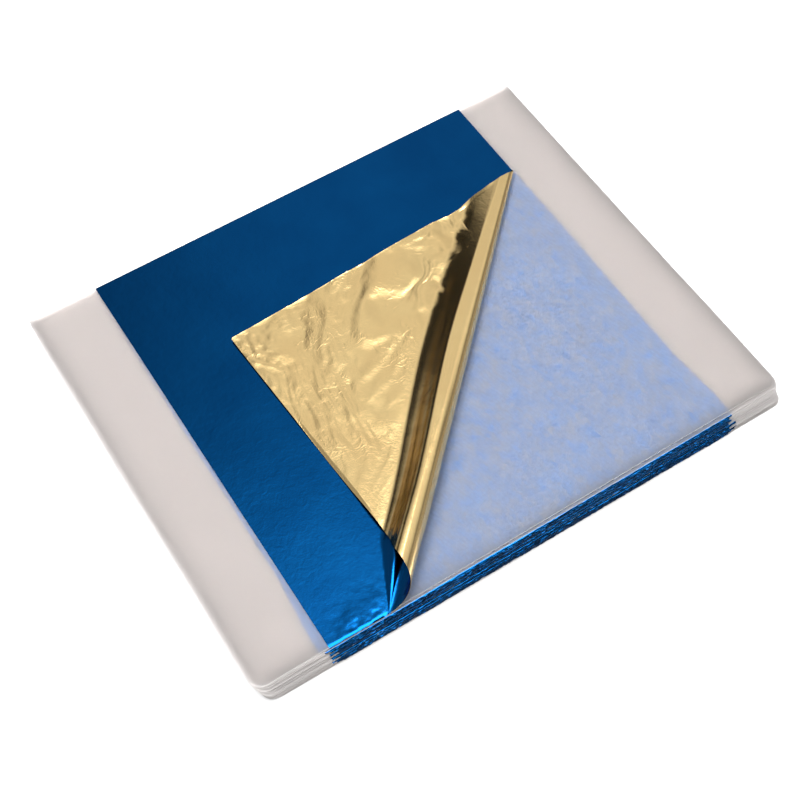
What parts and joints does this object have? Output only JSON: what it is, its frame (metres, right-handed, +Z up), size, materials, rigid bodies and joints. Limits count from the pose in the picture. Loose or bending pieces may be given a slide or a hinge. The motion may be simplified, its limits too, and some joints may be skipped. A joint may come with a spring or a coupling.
{
  "type": "imitation leaf pack",
  "caption": "Loose pack of thin metal leaf, blue above and gold below, with wider tissue interleaves; the top leaf's corner is turned back.",
  "frame": {"origin": "middle of the pack's footprint, at the underside of the bottom interleaf", "axes": "+X to the right along the front edge, +Y to the back, +Z up through the pile"},
  "size_m": [0.1067, 0.0852, 0.0115],
  "materials": {
    "tissue": "matte translucent tissue",
    "blue_leaf": "blue lacquer on bright foil, gold underside",
    "gold_underside": "gold lacquer on bright foil, crinkled"
  },
  "bodies": {
    "interleaf_25": {"interleaf_25": "tissue"},
    "leaf_25": {"leaf_25": "blue_leaf"},
    "interleaf_24": {"interleaf_24": "tissue"},
    "leaf_24": {"leaf_24": "blue_leaf"},
    "interleaf_23": {"interleaf_23": "tissue"},
    "leaf_23": {"leaf_23": "blue_leaf"},
    "interleaf_22": {"interleaf_22": "tissue"},
    "leaf_22": {"leaf_22": "blue_leaf"},
    "interleaf_21": {"interleaf_21": "tissue"},
    "leaf_21": {"leaf_21": "blue_leaf"},
    "interleaf_20": {"interleaf_20": "tissue"},
    "leaf_20": {"leaf_20": "blue_leaf"},
    "interleaf_19": {"interleaf_19": "tissue"},
    "leaf_19": {"leaf_19": "blue_leaf"},
    "interleaf_18": {"interleaf_18": "tissue"},
    "leaf_18": {"leaf_18": "blue_leaf"},
    "interleaf_17": {"interleaf_17": "tissue"},
    "leaf_17": {"leaf_17": "blue_leaf"},
    "interleaf_16": {"interleaf_16": "tissue"},
    "leaf_16": {"leaf_16": "blue_leaf"},
    "interleaf_15": {"interleaf_15": "tissue"},
    "leaf_15": {"leaf_15": "blue_leaf"},
    "interleaf_14": {"interleaf_14": "tissue"},
    "leaf_14": {"leaf_14": "blue_leaf"},
    "interleaf_13": {"interleaf_13": "tissue"},
    "leaf_13": {"leaf_13": "blue_leaf"},
    "interleaf_12": {"interleaf_12": "tissue"},
    "leaf_12": {"leaf_12": "blue_leaf"},
    "interleaf_11": {"interleaf_11": "tissue"},
    "leaf_11": {"leaf_11": "blue_leaf"},
    "interleaf_10": {"interleaf_10": "tissue"},
    "leaf_10": {"leaf_10": "blue_leaf"},
    "interleaf_09": {"interleaf_09": "tissue"},
    "leaf_09": {"leaf_09": "blue_leaf"},
    "interleaf_08": {"interleaf_08": "tissue"},
    "leaf_08": {"leaf_08": "blue_leaf"},
    "interleaf_07": {"interleaf_07": "tissue"},
    "leaf_07": {"leaf_07": "blue_leaf"},
    "interleaf_06": {"interleaf_06": "tissue"},
    "leaf_06": {"leaf_06": "blue_leaf"},
    "interleaf_05": {"interleaf_05": "tissue"},
    "leaf_05": {"leaf_05": "blue_leaf"},
    "interleaf_04": {"interleaf_04": "tissue"},
    "leaf_04": {"leaf_04": "blue_leaf"},
    "interleaf_03": {"interleaf_03": "tissue"},
    "leaf_03": {"leaf_03": "blue_leaf"},
    "interleaf_02": {"interleaf_02": "tissue"},
    "leaf_02": {"leaf_02": "blue_leaf"},
    "interleaf_01": {"interleaf_01": "tissue"},
    "leaf_01": {"leaf_01": "blue_leaf", "leaf_01_curl": "gold_underside"},
    "leaf_01_corner": {"leaf_01_corner": "gold_underside"}
  },
  "joints": [
    {"name": "corner_fold", "type": "hinge", "parent": "leaf_01", "child": "leaf_01_corner", "pos_m": [0.00425, -0.01601, 0.0064], "axis": [0.687, 0.7267, 0], "range_deg": [0, 180], "deforming": ["leaf_01_curl"]},
    {"name": "leaf_01_lift", "type": "slide", "parent": "interleaf_01", "child": "leaf_01", "axis": [0, 0, 1], "range_m": [0, 0.012]},
    {"name": "interleaf_01_draw", "type": "slide", "parent": "interleaf_25", "child": "interleaf_01", "axis": [0, -1, 0], "range_m": [0, 0.012]},
    {"name": "leaf_02_draw", "type": "slide", "parent": "interleaf_02", "child": "leaf_02", "axis": [0, -1, 0], "range_m": [0, 0.005]},
    {"name": "interleaf_02_draw", "type": "slide", "parent": "interleaf_25", "child": "interleaf_02", "axis": [0, -1, 0], "range_m": [0, 0.012]},
    {"name": "leaf_03_draw", "type": "slide", "parent": "interleaf_03", "child": "leaf_03", "axis": [0, -1, 0], "range_m": [0, 0.005]},
    {"name": "interleaf_03_draw", "type": "slide", "parent": "interleaf_25", "child": "interleaf_03", "axis": [0, -1, 0], "range_m": [0, 0.012]},
    {"name": "leaf_04_draw", "type": "slide", "parent": "interleaf_04", "child": "leaf_04", "axis": [0, -1, 0], "range_m": [0, 0.005]},
    {"name": "interleaf_04_draw", "type": "slide", "parent": "interleaf_25", "child": "interleaf_04", "axis": [0, -1, 0], "range_m": [0, 0.012]},
    {"name": "leaf_05_draw", "type": "slide", "parent": "interleaf_05", "child": "leaf_05", "axis": [0, -1, 0], "range_m": [0, 0.005]},
    {"name": "interleaf_05_draw", "type": "slide", "parent": "interleaf_25", "child": "interleaf_05", "axis": [0, -1, 0], "range_m": [0, 0.012]},
    {"name": "leaf_06_draw", "type": "slide", "parent": "interleaf_06", "child": "leaf_06", "axis": [0, -1, 0], "range_m": [0, 0.005]},
    {"name": "interleaf_06_draw", "type": "slide", "parent": "interleaf_25", "child": "interleaf_06", "axis": [0, -1, 0], "range_m": [0, 0.012]},
    {"name": "leaf_07_draw", "type": "slide", "parent": "interleaf_07", "child": "leaf_07", "axis": [0, -1, 0], "range_m": [0, 0.005]},
    {"name": "interleaf_07_draw", "type": "slide", "parent": "interleaf_25", "child": "interleaf_07", "axis": [0, -1, 0], "range_m": [0, 0.012]},
    {"name": "leaf_08_draw", "type": "slide", "parent": "interleaf_08", "child": "leaf_08", "axis": [0, -1, 0], "range_m": [0, 0.005]},
    {"name": "interleaf_08_draw", "type": "slide", "parent": "interleaf_25", "child": "interleaf_08", "axis": [0, -1, 0], "range_m": [0, 0.012]},
    {"name": "leaf_09_draw", "type": "slide", "parent": "interleaf_09", "child": "leaf_09", "axis": [0, -1, 0], "range_m": [0, 0.005]},
    {"name": "interleaf_09_draw", "type": "slide", "parent": "interleaf_25", "child": "interleaf_09", "axis": [0, -1, 0], "range_m": [0, 0.012]},
    {"name": "leaf_10_draw", "type": "slide", "parent": "interleaf_10", "child": "leaf_10", "axis": [0, -1, 0], "range_m": [0, 0.005]},
    {"name": "interleaf_10_draw", "type": "slide", "parent": "interleaf_25", "child": "interleaf_10", "axis": [0, -1, 0], "range_m": [0, 0.012]},
    {"name": "leaf_11_draw", "type": "slide", "parent": "interleaf_11", "child": "leaf_11", "axis": [0, -1, 0], "range_m": [0, 0.005]},
    {"name": "interleaf_11_draw", "type": "slide", "parent": "interleaf_25", "child": "interleaf_11", "axis": [0, -1, 0], "range_m": [0, 0.012]},
    {"name": "leaf_12_draw", "type": "slide", "parent": "interleaf_12", "child": "leaf_12", "axis": [0, -1, 0], "range_m": [0, 0.005]},
    {"name": "interleaf_12_draw", "type": "slide", "parent": "interleaf_25", "child": "interleaf_12", "axis": [0, -1, 0], "range_m": [0, 0.012]},
    {"name": "leaf_13_draw", "type": "slide", "parent": "interleaf_13", "child": "leaf_13", "axis": [0, -1, 0], "range_m": [0, 0.005]},
    {"name": "interleaf_13_draw", "type": "slide", "parent": "interleaf_25", "child": "interleaf_13", "axis": [0, -1, 0], "range_m": [0, 0.012]},
    {"name": "leaf_14_draw", "type": "slide", "parent": "interleaf_14", "child": "leaf_14", "axis": [0, -1, 0], "range_m": [0, 0.005]},
    {"name": "interleaf_14_draw", "type": "slide", "parent": "interleaf_25", "child": "interleaf_14", "axis": [0, -1, 0], "range_m": [0, 0.012]},
    {"name": "leaf_15_draw", "type": "slide", "parent": "interleaf_15", "child": "leaf_15", "axis": [0, -1, 0], "range_m": [0, 0.005]},
    {"name": "interleaf_15_draw", "type": "slide", "parent": "interleaf_25", "child": "interleaf_15", "axis": [0, -1, 0], "range_m": [0, 0.012]},
    {"name": "leaf_16_draw", "type": "slide", "parent": "interleaf_16", "child": "leaf_16", "axis": [0, -1, 0], "range_m": [0, 0.005]},
    {"name": "interleaf_16_draw", "type": "slide", "parent": "interleaf_25", "child": "interleaf_16", "axis": [0, -1, 0], "range_m": [0, 0.012]},
    {"name": "leaf_17_draw", "type": "slide", "parent": "interleaf_17", "child": "leaf_17", "axis": [0, -1, 0], "range_m": [0, 0.005]},
    {"name": "interleaf_17_draw", "type": "slide", "parent": "interleaf_25", "child": "interleaf_17", "axis": [0, -1, 0], "range_m": [0, 0.012]},
    {"name": "leaf_18_draw", "type": "slide", "parent": "interleaf_18", "child": "leaf_18", "axis": [0, -1, 0], "range_m": [0, 0.005]},
    {"name": "interleaf_18_draw", "type": "slide", "parent": "interleaf_25", "child": "interleaf_18", "axis": [0, -1, 0], "range_m": [0, 0.012]},
    {"name": "leaf_19_draw", "type": "slide", "parent": "interleaf_19", "child": "leaf_19", "axis": [0, -1, 0], "range_m": [0, 0.005]},
    {"name": "interleaf_19_draw", "type": "slide", "parent": "interleaf_25", "child": "interleaf_19", "axis": [0, -1, 0], "range_m": [0, 0.012]},
    {"name": "leaf_20_draw", "type": "slide", "parent": "interleaf_20", "child": "leaf_20", "axis": [0, -1, 0], "range_m": [0, 0.005]},
    {"name": "interleaf_20_draw", "type": "slide", "parent": "interleaf_25", "child": "interleaf_20", "axis": [0, -1, 0], "range_m": [0, 0.012]},
    {"name": "leaf_21_draw", "type": "slide", "parent": "interleaf_21", "child": "leaf_21", "axis": [0, -1, 0], "range_m": [0, 0.005]},
    {"name": "interleaf_21_draw", "type": "slide", "parent": "interleaf_25", "child": "interleaf_21", "axis": [0, -1, 0], "range_m": [0, 0.012]},
    {"name": "leaf_22_draw", "type": "slide", "parent": "interleaf_22", "child": "leaf_22", "axis": [0, -1, 0], "range_m": [0, 0.005]},
    {"name": "interleaf_22_draw", "type": "slide", "parent": "interleaf_25", "child": "interleaf_22", "axis": [0, -1, 0], "range_m": [0, 0.012]},
    {"name": "leaf_23_draw", "type": "slide", "parent": "interleaf_23", "child": "leaf_23", "axis": [0, -1, 0], "range_m": [0, 0.005]},
    {"name": "interleaf_23_draw", "type": "slide", "parent": "interleaf_25", "child": "interleaf_23", "axis": [0, -1, 0], "range_m": [0, 0.012]},
    {"name": "leaf_24_draw", "type": "slide", "parent": "interleaf_24", "child": "leaf_24", "axis": [0, -1, 0], "range_m": [0, 0.005]},
    {"name": "interleaf_24_draw", "type": "slide", "parent": "interleaf_25", "child": "interleaf_24", "axis": [0, -1, 0], "range_m": [0, 0.012]},
    {"name": "leaf_25_draw", "type": "slide", "parent": "interleaf_25", "child": "leaf_25", "axis": [0, -1, 0], "range_m": [0, 0.005]}
  ]
}
